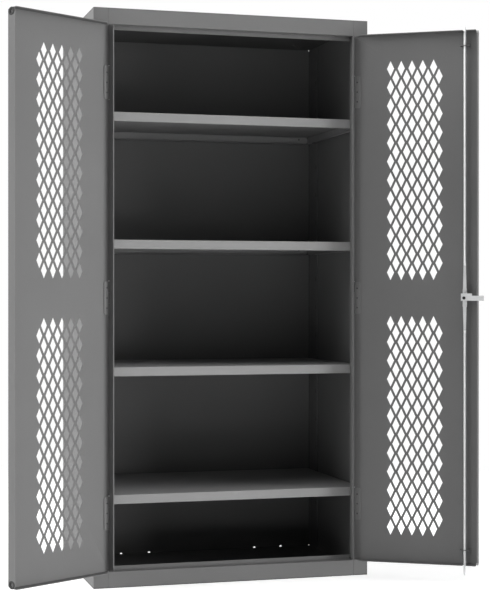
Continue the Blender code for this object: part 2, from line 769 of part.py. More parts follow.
def build_doors(steel):
    """Both doors, each on the axis of its hinge pins."""
    turns = {"left": -LEFT_DOOR_OPEN, "right": RIGHT_DOOR_OPEN}
    widths = {"left": LEFT_DOOR_WIDTH, "right": RIGHT_DOOR_WIDTH}
    axes = {}
    for name, side in SIDES.items():
        place = (side * PIN_ACROSS, FRONT + PIN_DEPTH, 0)
        axes[name] = add_axis(f"{name}_door_axis", place, turns[name])
        latch_cutters = [latch_holes()] if side > 0 else []
        pan = door_pan(side, widths[name], latch_cutters)
        add_piece(f"{name}_door", pan, steel, axes[name])
    return axes


# Latch, about the spindle's axis: X towards the hinges, Y into the case, Z up

def cam_solid():
    """The cam: hub, two arms with rivets, and the block with its tongue and tab."""
    hub_start = DOOR_SHEET + SEAT_GAP
    block_start = LINK_DEPTH + LINK_SHEET + LINK_BOSS_HEIGHT + SEAT_GAP
    hub = prism(circle((0, 0), CAM_HUB_RADIUS, ROUND_STEPS), hub_start, block_start + OVERRUN, "Y")
    arm_end = ARM_DEPTH + CAM_ARM_SHEET
    solids = []
    for upward in (-1, 1):
        reach = upward * CAM_ARM_RADIUS
        outline = rod_outline(reach, CAM_ARM_END_RADIUS, CAM_ARM_END_RADIUS, HOLE_STEPS)
        solids.append(prism(outline, ARM_DEPTH, arm_end, "Y"))
        rivet = circle((0, reach), CAM_RIVET_RADIUS, HOLE_STEPS)
        rivet_end = LINK_DEPTH + LINK_SHEET + LINK_BOSS_HEIGHT
        solids.append(prism(rivet, arm_end - CAM_ARM_SHEET / 2, rivet_end, "Y"))
    half = CAM_BLOCK_WIDTH / 2
    solids.append(box((-half, block_start, -CAM_BLOCK_BELOW), (half, CAM_FRONT, CAM_BLOCK_ABOVE)))
    tongue_low = (-TONGUE_REACH, TONGUE_DEPTH, -CAM_BLOCK_BELOW)
    solids.append(box(tongue_low, (0, CAM_FRONT, TONGUE_ABOVE)))
    solids.append(box((-TAB_REACH, TONGUE_DEPTH, 0), (0, CAM_FRONT, CAM_BLOCK_ABOVE)))
    cam = unite(hub, *solids)
    half_hole = SPINDLE_WIDTH / 2 + SEAT_GAP
    hole_end = SPINDLE_REACH + SEAT_GAP
    square = box((-half_hole, 0, -half_hole), (half_hole, hole_end, half_hole))
    bore = circle((0, 0), SCREW_RADIUS + SEAT_GAP, HOLE_STEPS)
    screw_end = CAM_FRONT - SCREW_LENGTH - SEAT_GAP
    return cut(cam, square, prism(bore, screw_end, CAM_FRONT + OVERRUN, "Y"))


def hub_screw():
    """The socket screw in the middle of the cam's block."""
    seat = CAM_FRONT + SEAT_GAP
    top = seat + SCREW_HEAD_HEIGHT
    shank = prism(circle((0, 0), SCREW_RADIUS, HOLE_STEPS), CAM_FRONT - SCREW_LENGTH, seat + SEAT_GAP, "Y")
    head = prism(circle((0, 0), SCREW_HEAD_RADIUS, ROUND_STEPS), seat, top, "Y")
    socket = prism(circle((0, 0), SOCKET_RADIUS, HOLE_STEPS), top - SOCKET_DEPTH, top + OVERRUN, "Y")
    return cut(unite(head, shank), socket)


def rod(upward):
    """A rod on the spindle's axis plane, with a lap for its link at one end and a tip at the other."""
    joint = CAM_ARM_RADIUS + LINK_LENGTH
    start = joint - ROD_LAP_PAST_JOINT
    tip = DOOR_TOP + ROD_REACH - MIDDLE_HEIGHT
    profile = [
        (ROD_RADIUS, upward * start),
        (ROD_RADIUS, upward * (tip - ROD_TIP_LENGTH)),
        (ROD_TIP_RADIUS, upward * tip),
    ]
    solid = turned(profile, ROUND_STEPS)
    solid.transform(Matrix.Translation((0, ROD_DEPTH, 0)))
    side = ROD_RADIUS + OVERRUN
    lap = box(
        (-side, ROD_DEPTH - SEAT_GAP, upward * (start - OVERRUN)),
        (side, ROD_DEPTH + side, upward * (start + ROD_LAP_LENGTH)),
    )
    return cut(solid, lap)


def link(upward):
    """A tapering link, about its pivot on the cam."""
    outline = rod_outline(upward * LINK_LENGTH, LINK_END_RADIUS, LINK_ROD_END_RADIUS, HOLE_STEPS)
    plate = prism(outline, LINK_DEPTH, LINK_DEPTH + LINK_SHEET, "Y")
    boss = circle((0, upward * LINK_LENGTH), LINK_BOSS_RADIUS, HOLE_STEPS)
    boss_end = LINK_DEPTH + LINK_SHEET + LINK_BOSS_HEIGHT
    plate = unite(plate, prism(boss, LINK_DEPTH + LINK_SHEET / 2, boss_end, "Y"))
    hole = circle((0, 0), LINK_HOLE_RADIUS, HOLE_STEPS)
    return cut(plate, prism(hole, LINK_DEPTH - OVERRUN, boss_end + OVERRUN, "Y"))


def rod_guide(upward):
    """An angle on the door's face sheet with a hole for the rod."""
    foot = DOOR_SHEET + SEAT_GAP
    outline = [
        (foot, 0),
        (foot + GUIDE_REACH, 0),
        (foot + GUIDE_REACH, upward * GUIDE_SHEET),
        (foot + GUIDE_SHEET, upward * GUIDE_SHEET),
        (foot + GUIDE_SHEET, upward * GUIDE_FOOT),
        (foot, upward * GUIDE_FOOT),
    ]
    hole = circle((0, ROD_DEPTH), GUIDE_HOLE_RADIUS, ROUND_STEPS)
    cutter = prism(hole, -upward * OVERRUN, upward * OVERRUN, "Z")
    return cut(prism(outline, -GUIDE_WIDTH / 2, GUIDE_WIDTH / 2, "X"), cutter)


def escutcheon():
    """The plate under the handle."""
    plate = prism(circle((0, 0), ROSE_RADIUS, LARGE_ROUND_STEPS), -ROSE_SHEET - SEAT_GAP, -SEAT_GAP, "Y")
    hole = circle((0, 0), SPINDLE_HOLE_RADIUS, ROUND_STEPS)
    return cut(plate, prism(hole, -ROSE_SHEET - OVERRUN, OVERRUN, "Y"))


def handle_solid():
    """The handle: neck, lever, square spindle, and the bore for its lock cylinder."""
    neck_end = -ROSE_SHEET - SEAT_GAP * 2
    lever_back = neck_end - HANDLE_NECK_LENGTH
    lever_front = lever_back - HANDLE_THICKNESS
    neck = circle((0, 0), HANDLE_NECK_RADIUS, LARGE_ROUND_STEPS)
    solid = prism(neck, neck_end, lever_back - HANDLE_THICKNESS / 2, "Y")
    outline = rod_outline(-HANDLE_LENGTH, HANDLE_HEAD_RADIUS, HANDLE_TIP_RADIUS, ROUND_STEPS)
    lever = prism(outline, lever_back, lever_front, "Y")
    half = SPINDLE_WIDTH / 2
    spindle = box((-half, neck_end - OVERRUN, -half), (half, SPINDLE_REACH, half))
    bore = circle((0, 0), CYLINDER_RADIUS + SEAT_GAP, ROUND_STEPS)
    bore_end = lever_front - CYLINDER_PROUD + CYLINDER_LENGTH + SEAT_GAP
    cutter = prism(bore, lever_front - OVERRUN, bore_end, "Y")
    return cut(unite(solid, lever, spindle), cutter)


def lock_cylinder():
    """The lock cylinder with its keyway."""
    front = -ROSE_SHEET - SEAT_GAP * 2 - HANDLE_NECK_LENGTH - HANDLE_THICKNESS - CYLINDER_PROUD
    plug = prism(circle((0, 0), CYLINDER_RADIUS, ROUND_STEPS), front, front + CYLINDER_LENGTH, "Y")
    keyway = box(
        (-KEYWAY_WIDTH / 2, front - OVERRUN, -KEYWAY_HEIGHT / 2),
        (KEYWAY_WIDTH / 2, front + KEYWAY_DEPTH, KEYWAY_HEIGHT / 2),
    )
    return cut(plug, keyway)


def build_latch(door_axis, steel, zinc, black, chrome):
    """The latch on the right door, in its locked state: the lever hangs and the tongue is level."""
    place = (door_x(1, LATCH_ALONG), door_y(0), MIDDLE_HEIGHT)
    fixed = add_axis("latch_axis", place, parent=door_axis)
    turning = add_axis("handle_axis", place, parent=door_axis)
    add_piece("handle_escutcheon", escutcheon(), chrome, fixed)
    add_piece("door_handle", handle_solid(), chrome, turning)
    add_piece("lock_cylinder", lock_cylinder(), chrome, turning)
    add_piece("latch_cam", cam_solid(), zinc, turning)
    add_piece("latch_cam_screw", hub_screw(), black, turning)
    guide_height = DOOR_TOP - GUIDE_INSET - MIDDLE_HEIGHT
    for name, upward in (("upper", 1), ("lower", -1)):
        guide_place = (0, 0, upward * guide_height)
        add_piece(f"{name}_rod_guide", rod_guide(upward), steel, fixed, guide_place)
        add_piece(f"{name}_latch_rod", rod(upward), zinc, fixed)
        link_place = (0, 0, upward * CAM_ARM_RADIUS)
        add_piece(f"{name}_latch_link", link(upward), zinc, turning, link_place)


def main():
    """Build the cabinet."""
    clear_scene()
    case_coat = make_material("case_coat", (0.17, 0.17, 0.17), 0.5, 0.0)
    shelf_coat = make_material("shelf_coat", (0.22, 0.22, 0.22), 0.5, 0.0)
    door_coat = make_material("door_coat", (0.17, 0.17, 0.17), 0.5, 0.0)
    hinge_coat = make_material("hinge_coat", (0.16, 0.16, 0.16), 0.5, 0.0)
    clip_coat = make_material("clip_coat", (0.14, 0.14, 0.14), 0.5, 0.0)
    pin_zinc = make_material("pin_zinc", (0.55, 0.55, 0.54), 0.35, 1.0)
    latch_zinc = make_material("latch_zinc", (0.72, 0.72, 0.70), 0.3, 1.0)
    screw_black = make_material("screw_black", (0.06, 0.06, 0.06), 0.45, 1.0)
    handle_chrome = make_material("handle_chrome", (0.75, 0.75, 0.76), 0.15, 1.0)
    build_case(case_coat)
    build_shelves(shelf_coat, clip_coat)
    door_axes = build_doors(door_coat)
    build_hinges(door_axes, hinge_coat, pin_zinc)
    build_latch(door_axes["right"], door_coat, latch_zinc, screw_black, handle_chrome)
    bpy.context.view_layer.update()


main()
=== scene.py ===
"""Looks of the ventilated cabinet: materials, light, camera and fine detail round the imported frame.

Metres, +Z up, +Y to the cabinet's back, in the frame's own coordinates.
"""

import json
import math

import bmesh
import bpy
from mathutils import Matrix, Vector


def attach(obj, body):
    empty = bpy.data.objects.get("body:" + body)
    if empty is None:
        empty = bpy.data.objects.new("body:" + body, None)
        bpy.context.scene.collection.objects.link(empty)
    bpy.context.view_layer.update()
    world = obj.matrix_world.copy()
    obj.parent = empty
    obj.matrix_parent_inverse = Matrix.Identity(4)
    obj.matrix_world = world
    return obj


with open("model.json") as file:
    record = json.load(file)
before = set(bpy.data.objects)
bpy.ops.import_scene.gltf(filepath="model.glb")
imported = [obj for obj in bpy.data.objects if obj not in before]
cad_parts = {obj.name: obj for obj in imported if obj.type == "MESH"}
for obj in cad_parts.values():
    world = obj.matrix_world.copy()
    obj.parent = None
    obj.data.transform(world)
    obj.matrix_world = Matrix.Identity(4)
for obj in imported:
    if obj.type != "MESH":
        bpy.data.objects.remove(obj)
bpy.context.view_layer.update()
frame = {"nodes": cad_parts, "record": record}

# Image and camera
IMAGE_HEIGHT = 600
SENSOR = 36.0
FOCAL_PIXELS = 1520.2
CAMERA_PLACE = (-1.30021, -5.02840, 0.91623)
CAMERA_YAW = math.radians(15.806)
CAMERA_PITCH = math.radians(-0.0965)

# Rounded edges of the sheet metal and of the small parts. Sheets that butt against others stay crisp,
# and so do the doors, whose many holes leave no room for a round.
SHEET_ROUND = 0.0008
SMALL_ROUND = 0.00035
CRISP_NODES = ("back_panel", "top_panel", "bottom_panel", "left_door", "right_door")
ROUND_STEPS = 2
ROUND_ANGLE = math.radians(50)
FLAT_ANGLE = math.radians(1)
MERGE_GAP = 0.000001

# Doors, as measured on the closed door: along from the hinge edge, depth from the outer face
PIN_ACROSS = 0.4084
PIN_BACK = -0.3062
PIN_DEPTH = -0.0014
HINGE_GAP = 0.0012
DOOR_DEPTH = 0.03175
FLANGE_HEIGHTS = (0.0673, 1.7615)
DOORS = {
    "left_door": {"side": -1, "width": 0.3977, "turn": math.radians(-149.0)},
    "right_door": {"side": 1, "width": 0.4099, "turn": math.radians(148.7)},
}

# Screws sunk in the three holes of each hinge leaf, made black as painted shade of the holes
HINGE_HEIGHTS = {"lower": 0.2374, "middle": 0.9144, "upper": 1.5914}
SCREW_PITCH = 0.0318
SCREW_ALONG = 0.0119
SCREW_PROFILE = ((0.0, 0.0022), (0.0026, 0.0022), (0.0026, 0.0033), (0.0019, 0.0037), (0.0, 0.0038))
SCREW_STEPS = 16

# Rubber bumpers in the holes at the ends of the left door's free flange
BUMPER_HALF_ACROSS = 0.0152
BUMPER_HALF_RISE = 0.0122
BUMPER_BORE = 0.0062
BUMPER_NECK = 0.0069
BUMPER_PROUD = 0.0015
BUMPER_DEPTH = 0.0034
BUMPER_STEPS = 40
BUMPER_DOME_STEPS = 8

# Painted shade: dark plates in the open slots of the sides, just under the strips' faces, and in the holes
# of the shelves' back flanges
SLOT_SHADE_PLATE_ACROSS = 0.4524
SLOT_ROWS = (-0.2156, 0.2156)
SLOT_LOWEST = 0.1699
SLOT_PITCH = 0.1016
SLOT_COUNT = 16
CLIP_SLOTS = (1, 5, 9, 13)
SLOT_HALF_ACROSS = 0.0037
SLOT_HALF_RISE = 0.0062
SHELF_HOLE_ACROSS = 0.4141
SHELF_HOLE_BACK = 0.3009
SHELF_HOLE_ABOVE_SLOT = 0.0053
SHELF_HOLE_HALF = 0.0026
SHADE_PLATE_SHEET = 0.0003
SHADE_PLATE_STEPS = 16
SHADE_PLATE_ROUNDNESS = 0.45

# Colours, linear, and how rough the coats and metals are
CASE_GREY = 0.19
DOOR_GREY = 0.152
SHELF_GREY = 0.330
HINGE_GREY = 0.19
MATT_GREY = 0.03
CLIP_GREY = 0.14
SCREW_GREY = 0.05
ZINC = (0.64, 0.645, 0.65)
# The rods' zinc is the latch's zinc made lighter: painted light, making up for the dark door that they
# reflect
ROD_PAINTED_LIGHT_ZINC = (0.93, 0.935, 0.94)
ZINC_METAL_SHARE = 0.3
CHROME = (0.80, 0.80, 0.82)
COAT_ROUGHNESS = 0.60
DOOR_ROUGHNESS = 0.58
SCREW_COAT_ROUGHNESS = 0.45
PIN_ROUGHNESS = 0.32
ZINC_ROUGHNESS = 0.34
CHROME_ROUGHNESS = 0.16
RUBBER_ROUGHNESS = 0.6
SCREW_ROUGHNESS = 0.5

# Powder coat: its gloss fades out where it is seen at a slant, and painted shade darkens its colour in slots,
# holes and tight corners
COAT_GLOSS = 0.16
GLOSS_SLANTS = (0.5, 0.85)
PAINTED_SHADE_REACH = 0.010
PAINTED_SHADE_SAMPLES = 8
PAINTED_SHADE_OPENNESS = (0.25, 0.65)
# How dark the painted shade gets at its deepest, on most coats and on the hinges
PAINTED_SHADE_DARKEST = 0.15
HINGE_PAINTED_SHADE_DARKEST = 0.6

# Fine patterns: scale and detail of each noise, the middle part of a noise that is used, the shades and the
# change of roughness that it gives, and the strength and depth of its relief
NOISE_REACH = (0.3, 0.7)
CLOUD_NOISE = (3.0, 3.0)
CLOUD_SHADES = (0.97, 1.03)
SPECKLE_NOISE = (900.0, 2.0)
SPECKLE_SHADES = (0.96, 1.04)
WEAR_NOISE = (14.0, 4.0)
WEAR_ROUGHNESS = (-0.03, 0.04)
PEEL_NOISE = (320.0, 2.0)
PEEL_RELIEF = (0.12, 0.0004)
GRAIN_NOISE = (1600.0, 1.0)
GRAIN_RELIEF = (0.08, 0.0001)
LINE_NOISE = (700.0, 2.0)
LINE_DEPTH = 0.00005
BLOOM_NOISE = (60.0, 3.0)
BLOOM_STOPS = (0.35, 0.65)
BLOOM_DARKEST = 0.93
BLOOM_ROUGHNESS = (-0.04, 0.06)
MATT_NOISE = (1400.0, 2.0)
MATT_SHADES = (0.8, 1.2)
MATT_ROUGHNESS = (-0.05, 0.05)
MATT_RELIEF = (0.3, 0.0001)

# Drawn lines on plated metal: stretch of the pattern along each axis, and strength of the relief
PIN_LINES = {"stretch": (1, 1, 0.05), "strength": 0.2}
ROD_LINES = {"stretch": (1, 1, 0.04), "strength": 0.2}
CHROME_LINES = {"stretch": (1, 1, 1), "strength": 0.05}

# Light: far soft lamps, azimuth to the right of the front, rise above the horizon, spread as seen from here
LAMPS = {
    "left_back": {"azimuth": -100, "rise": 12, "spread": 24, "power": 1.13},
    "left": {"azimuth": -85, "rise": 12, "spread": 24, "power": 0.18},
    "left_soft": {"azimuth": -95, "rise": 20, "spread": 60, "power": 3.25},
    "right_back": {"azimuth": 85, "rise": 12, "spread": 24, "power": 0.22},
    "right": {"azimuth": 70, "rise": 12, "spread": 24, "power": 0.96},
    "right_front": {"azimuth": 50, "rise": 12, "spread": 24, "power": 0.42},
    "right_high": {"azimuth": 70, "rise": 45, "spread": 40, "power": 0.57},
    "top": {"azimuth": 0, "rise": 80, "spread": 60, "power": 0.89},
}

# Low strips that light the base and the undersides
LOW_LAMPS = {
    "right_low": {
        "place": (5.20, -3.30, 0.20), "aim": (0.0, -0.3, 0.1), "size": (4.0, 0.4), "power": 171.0,
    },
    "right_low_back": {
        "place": (5.80, -1.85, 0.20), "aim": (0.0, -0.3, 0.1), "size": (4.0, 0.4), "power": 61.0,
    },
    "front_low": {
        "place": (0.05, -1.20, 0.03), "aim": (0.0, -0.3, 0.05), "size": (1.2, 0.06), "power": 0.59,
    },
}

# Floor: it keeps the shadow near the cabinet, and is plain white to the camera further off
FLOOR_HALF = 40.0
FLOOR_DROP = 0.0005
FLOOR_GREY = 0.85
FLOOR_NEAR = 1.2
FLOOR_FAR = 3.2
FLOOR_NEAR_GLOW = 0.55
FLOOR_FAR_GLOW = 1.0


# Materials

def new_material(name):
    """An empty node material with its output and a Principled shader."""
    material = bpy.data.materials.new(name)
    material.use_nodes = True
    tree = material.node_tree
    tree.nodes.clear()
    output = tree.nodes.new("ShaderNodeOutputMaterial")
    shader = tree.nodes.new("ShaderNodeBsdfPrincipled")
    tree.links.new(shader.outputs["BSDF"], output.inputs["Surface"])
    return material, tree, shader


def noise(tree, coordinates, pattern):
    """A noise texture on the given coordinates; the pattern is its scale and detail."""
    node = tree.nodes.new("ShaderNodeTexNoise")
    node.inputs["Scale"].default_value, node.inputs["Detail"].default_value = pattern
    tree.links.new(coordinates, node.inputs["Vector"])
    return node.outputs["Fac"]


def remap(tree, value, results, reach=NOISE_REACH):
    """Stretch a value so that the ends of its reach give the two results."""
    node = tree.nodes.new("ShaderNodeMapRange")
    node.inputs["From Min"].default_value, node.inputs["From Max"].default_value = reach
    node.inputs["To Min"].default_value, node.inputs["To Max"].default_value = results
    tree.links.new(value, node.inputs["Value"])
    return node.outputs["Result"]


def around(middle, change):
    """The two ends of a range, given as changes of its middle value."""
    return middle + change[0], middle + change[1]


def multiply(tree, first, second):
    """Product of two values."""
    node = tree.nodes.new("ShaderNodeMath")
    node.operation = "MULTIPLY"
    tree.links.new(first, node.inputs[0])
    tree.links.new(second, node.inputs[1])
    return node.outputs[0]


def grey_colour(tree, shade, grey):
    """The grey's colour, lighter or darker by the shade."""
    scale = tree.nodes.new("ShaderNodeMath")
    scale.operation = "MULTIPLY"
    scale.inputs[1].default_value = grey
    tree.links.new(shade, scale.inputs[0])
    colour = tree.nodes.new("ShaderNodeCombineColor")
    for channel in ("Red", "Green", "Blue"):
        tree.links.new(scale.outputs[0], colour.inputs[channel])
    return colour.outputs["Color"]


def bump(tree, height, relief, below=None):
    """A bump node, on top of another one where given; the relief is its strength and depth."""
    node = tree.nodes.new("ShaderNodeBump")
    node.inputs["Strength"].default_value, node.inputs["Distance"].default_value = relief
    tree.links.new(height, node.inputs["Height"])
    if below is not None:
        tree.links.new(below, node.inputs["Normal"])
    return node.outputs["Normal"]


def painted_crevice_shade(tree, shade):
    """Painted shade: the coat's colour made darker in slots, holes and tight corners, where nearby surfaces
    hide it from light.
    """
    nearby = tree.nodes.new("ShaderNodeAmbientOcclusion")
    nearby.samples = PAINTED_SHADE_SAMPLES
    nearby.inputs["Distance"].default_value = PAINTED_SHADE_REACH
    return remap(tree, nearby.outputs["AO"], (shade, 1.0), PAINTED_SHADE_OPENNESS)


def powder_coat(name, grey, roughness, darkest_painted_shade=None):
    """Satin powder coat: faint clouds, fine speckle, orange peel, and painted shade in slots, holes and tight
    corners where asked for.
    """
    material, tree, shader = new_material(name)
    place = tree.nodes.new("ShaderNodeTexCoord").outputs["Object"]
    clouds = remap(tree, noise(tree, place, CLOUD_NOISE), CLOUD_SHADES)
    speckle = remap(tree, noise(tree, place, SPECKLE_NOISE), SPECKLE_SHADES)
    shade = multiply(tree, clouds, speckle)
    # Painted shade: the colour is darkened in slots, holes and tight corners
    if darkest_painted_shade is not None:
        shade = multiply(tree, shade, painted_crevice_shade(tree, darkest_painted_shade))
    tree.links.new(grey_colour(tree, shade, grey), shader.inputs["Base Color"])
    worn = remap(tree, noise(tree, place, WEAR_NOISE), around(roughness, WEAR_ROUGHNESS))
    tree.links.new(worn, shader.inputs["Roughness"])
    peel = bump(tree, noise(tree, place, PEEL_NOISE), PEEL_RELIEF)
    grain = bump(tree, noise(tree, place, GRAIN_NOISE), GRAIN_RELIEF, peel)
    tree.links.new(grain, shader.inputs["Normal"])
    slant = tree.nodes.new("ShaderNodeLayerWeight").outputs["Facing"]
    gloss = remap(tree, slant, (COAT_GLOSS, 0.0), GLOSS_SLANTS)
    tree.links.new(gloss, shader.inputs["Specular IOR Level"])
    return material


def plated(name, colour, roughness, drawn, metal_share=1.0):
    """Plated metal with fine drawn lines; their stretch scales the coordinates to turn spots into lines."""
    material, tree, shader = new_material(name)
    place = tree.nodes.new("ShaderNodeTexCoord").outputs["Object"]
    mapping = tree.nodes.new("ShaderNodeMapping")
    mapping.inputs["Scale"].default_value = drawn["stretch"]
    tree.links.new(place, mapping.inputs["Vector"])
    lines = noise(tree, mapping.outputs["Vector"], LINE_NOISE)
    blooms = noise(tree, place, BLOOM_NOISE)
    ramp = tree.nodes.new("ShaderNodeValToRGB")
    for stop, position, share in zip(ramp.color_ramp.elements, BLOOM_STOPS, (BLOOM_DARKEST, 1)):
        stop.position = position
        stop.color = (*[share * part for part in colour], 1)
    tree.links.new(blooms, ramp.inputs["Fac"])
    tree.links.new(ramp.outputs["Color"], shader.inputs["Base Color"])
    tree.links.new(remap(tree, blooms, around(roughness, BLOOM_ROUGHNESS)), shader.inputs["Roughness"])
    tree.links.new(bump(tree, lines, (drawn["strength"], LINE_DEPTH)), shader.inputs["Normal"])
    shader.inputs["Metallic"].default_value = metal_share
    return material


def matt_black(name, grey, roughness):
    """Matt black with a fine grain, as rubber and blackened screws have, and for painted shade in holes."""
    material, tree, shader = new_material(name)
    place = tree.nodes.new("ShaderNodeTexCoord").outputs["Object"]
    grain = noise(tree, place, MATT_NOISE)
    tree.links.new(grey_colour(tree, remap(tree, grain, MATT_SHADES), grey), shader.inputs["Base Color"])
    tree.links.new(remap(tree, grain, around(roughness, MATT_ROUGHNESS)), shader.inputs["Roughness"])
    tree.links.new(bump(tree, grain, MATT_RELIEF), shader.inputs["Normal"])
    return material


RUBBER = matt_black("bumper_rubber", MATT_GREY, RUBBER_ROUGHNESS)
# Black of the screws, also used as painted shade in the slots and holes
SCREW_AND_SHADE_BLACK = matt_black("screw_black_and_painted_shade", MATT_GREY, SCREW_ROUGHNESS)
MATERIALS = {
    "case_coat": powder_coat("case_powder_coat", CASE_GREY, COAT_ROUGHNESS, PAINTED_SHADE_DARKEST),
    "door_coat": powder_coat("door_powder_coat", DOOR_GREY, DOOR_ROUGHNESS),
    "shelf_coat": powder_coat("shelf_powder_coat", SHELF_GREY, COAT_ROUGHNESS, PAINTED_SHADE_DARKEST),
    "hinge_coat": powder_coat("hinge_powder_coat", HINGE_GREY, COAT_ROUGHNESS, HINGE_PAINTED_SHADE_DARKEST),
    "clip_coat": powder_coat("clip_powder_coat", CLIP_GREY, COAT_ROUGHNESS, PAINTED_SHADE_DARKEST),
    "screw_black": powder_coat("screw_black_oxide", SCREW_GREY, SCREW_COAT_ROUGHNESS, PAINTED_SHADE_DARKEST),
    "pin_zinc": plated("pin_zinc_plate", ZINC, PIN_ROUGHNESS, PIN_LINES, ZINC_METAL_SHARE),
    "latch_zinc": plated("latch_zinc_plate", ZINC, ZINC_ROUGHNESS, ROD_LINES, ZINC_METAL_SHARE),
    "handle_chrome": plated("handle_satin_chrome", CHROME, CHROME_ROUGHNESS, CHROME_LINES),
}
# Painted light: the rods get the lighter copy of the latch's zinc
ROD_PAINTED_LIGHT_MATERIAL = plated("rod_zinc_painted_light", ROD_PAINTED_LIGHT_ZINC, ZINC_ROUGHNESS, ROD_LINES, ZINC_METAL_SHARE)
ROD_NODES = ("upper_latch_rod", "lower_latch_rod")
SHEET_SLOTS = ("case_coat", "door_coat", "shelf_coat")


# The frame's own nodes

def clean_faces_group():
    """Node group that joins a node's loose triangles into one smooth surface."""
    tree = bpy.data.node_groups.new("clean_faces", "GeometryNodeTree")
    for way in ("INPUT", "OUTPUT"):
        tree.interface.new_socket("Geometry", in_out=way, socket_type="NodeSocketGeometry")
    start = tree.nodes.new("NodeGroupInput")
    merge = tree.nodes.new("GeometryNodeMergeByDistance")
    merge.inputs["Distance"].default_value = MERGE_GAP
    plain = tree.nodes.new("GeometryNodeRemoveAttribute")
    plain.inputs["Name"].default_value = "custom_normal"
    smooth = tree.nodes.new("GeometryNodeSetShadeSmooth")
    end = tree.nodes.new("NodeGroupOutput")
    chain = [start, merge, plain, smooth, end]
    for before, after in zip(chain, chain[1:]):
        tree.links.new(before.outputs[0], after.inputs[0])
    return tree


def round_edges(node, group, width):
    """Round a CAD node's sharp edges with modifiers, as bent sheet has them, or keep them crisp."""
    clean = node.modifiers.new("clean_faces", "NODES")
    clean.node_group = group
    if node.name in CRISP_NODES:
        sharp = node.modifiers.new("sharp_edges", "EDGE_SPLIT")
        sharp.split_angle = ROUND_ANGLE
        return
    flat = node.modifiers.new("merge_flat_faces", "DECIMATE")
    flat.decimate_type = "DISSOLVE"
    flat.angle_limit = FLAT_ANGLE
    bevel = node.modifiers.new("round_edges", "BEVEL")
    bevel.width = width
    bevel.segments = ROUND_STEPS
    bevel.limit_method = "ANGLE"
    bevel.angle_limit = ROUND_ANGLE
    bevel.harden_normals = True


def dress_frame():
    """Give every CAD node the material of its slot and rounded edges."""
    group = clean_faces_group()
    for part in frame["record"]["subparts"]:
        node = frame["nodes"][part["node"]]
        round_edges(node, group, SHEET_ROUND if part["material_slot"] in SHEET_SLOTS else SMALL_ROUND)
        material = ROD_PAINTED_LIGHT_MATERIAL if part["node"] in ROD_NODES else MATERIALS[part["material_slot"]]
        if not node.material_slots:
            node.data.materials.append(None)
        for place in node.material_slots:
            place.material = material


# Fine pieces

def on_door(door, along, depth, height):
    """Place in the room of a point that is measured on a closed door."""
    across = -door["side"] * (along + HINGE_GAP)
    turned = Matrix.Rotation(door["turn"], 3, "Z") @ Vector((across, depth - PIN_DEPTH, height))
    return turned + Vector((door["side"] * PIN_ACROSS, PIN_BACK, 0))


def finish_piece(name, shape, material, body):
    """Turn a mesh under construction into a piece that rides on a body."""
    bmesh.ops.recalc_face_normals(shape, faces=shape.faces)
    mesh = bpy.data.meshes.new(name)
    shape.to_mesh(mesh)
    shape.free()
    mesh.shade_smooth()
    mesh.set_sharp_from_angle(angle=ROUND_ANGLE)
    mesh.materials.append(material)
    piece = bpy.data.objects.new(name, mesh)
    bpy.context.scene.collection.objects.link(piece)
    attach(piece, body)


def join_rings(shape, rings, closed):
    """Faces between each row of points and the next, round to the first; a closed row also joins its ends."""
    for index, ring in enumerate(rings):
        after = rings[(index + 1) % len(rings)]
        for corner in range(len(ring) if closed else len(ring) - 1):
            further = (corner + 1) % len(ring)
            shape.faces.new((ring[corner], ring[further], after[further], after[corner]))


def bumper_profile():
    """Round the rubber's section: (share from bore to rim, radius inside the hole, height), outwards."""
    dome = []
    for step in range(BUMPER_DOME_STEPS + 1):
        share = 1 - step / BUMPER_DOME_STEPS
        dome.append((share, BUMPER_BORE, BUMPER_PROUD * math.sqrt(1 - (2 * share - 1) ** 2)))
    return dome + [(0, BUMPER_BORE, -BUMPER_DEPTH), (0, BUMPER_NECK, -BUMPER_DEPTH), (0, BUMPER_NECK, 0)]


def build_bumper(name, door, body, height):
    """A rubber ring in the hole at one end of a door's free flange."""
    shape = bmesh.new()
    rings = []
    for step in range(BUMPER_STEPS):
        angle = math.tau * step / BUMPER_STEPS
        ring = []
        for share, inner, proud in bumper_profile():
            across = inner + share * (BUMPER_HALF_ACROSS - inner)
            rise = inner + share * (BUMPER_HALF_RISE - inner)
            place = on_door(
                door,
                door["width"] + proud,
                DOOR_DEPTH / 2 + across * math.cos(angle),
                height + rise * math.sin(angle),
            )
            ring.append(shape.verts.new(place))
        rings.append(ring)
    join_rings(shape, rings, True)
    finish_piece(name, shape, RUBBER, body)


def build_bumpers():
    """Two rubber rings on the left door, which the other one closes over."""
    for word, height in zip(("lower", "upper"), FLANGE_HEIGHTS):
        build_bumper(f"left_door_{word}_bumper", DOORS["left_door"], "left_door", height)


def build_leaf_screws(name, door, body, height):
    """Three screws in a hinge leaf's holes, as one piece, black as painted shade of the holes."""
    shape = bmesh.new()
    for step in (-1, 0, 1):
        centre = height + step * SCREW_PITCH
        rings = []
        for index in range(SCREW_STEPS):
            angle = math.tau * index / SCREW_STEPS
            rings.append([
                shape.verts.new(on_door(
                    door,
                    SCREW_ALONG + radius * math.cos(angle),
                    depth,
                    centre + radius * math.sin(angle),
                ))
                for radius, depth in SCREW_PROFILE
            ])
        join_rings(shape, rings, False)
    bmesh.ops.remove_doubles(shape, verts=shape.verts, dist=MERGE_GAP)
    finish_piece(name, shape, SCREW_AND_SHADE_BLACK, body)


def build_hinge_screws():
    """The screws of all six door leaves."""
    for body, door in DOORS.items():
        for word, height in HINGE_HEIGHTS.items():
            build_leaf_screws(f"{body}_{word}_hinge_screws", door, body, height)


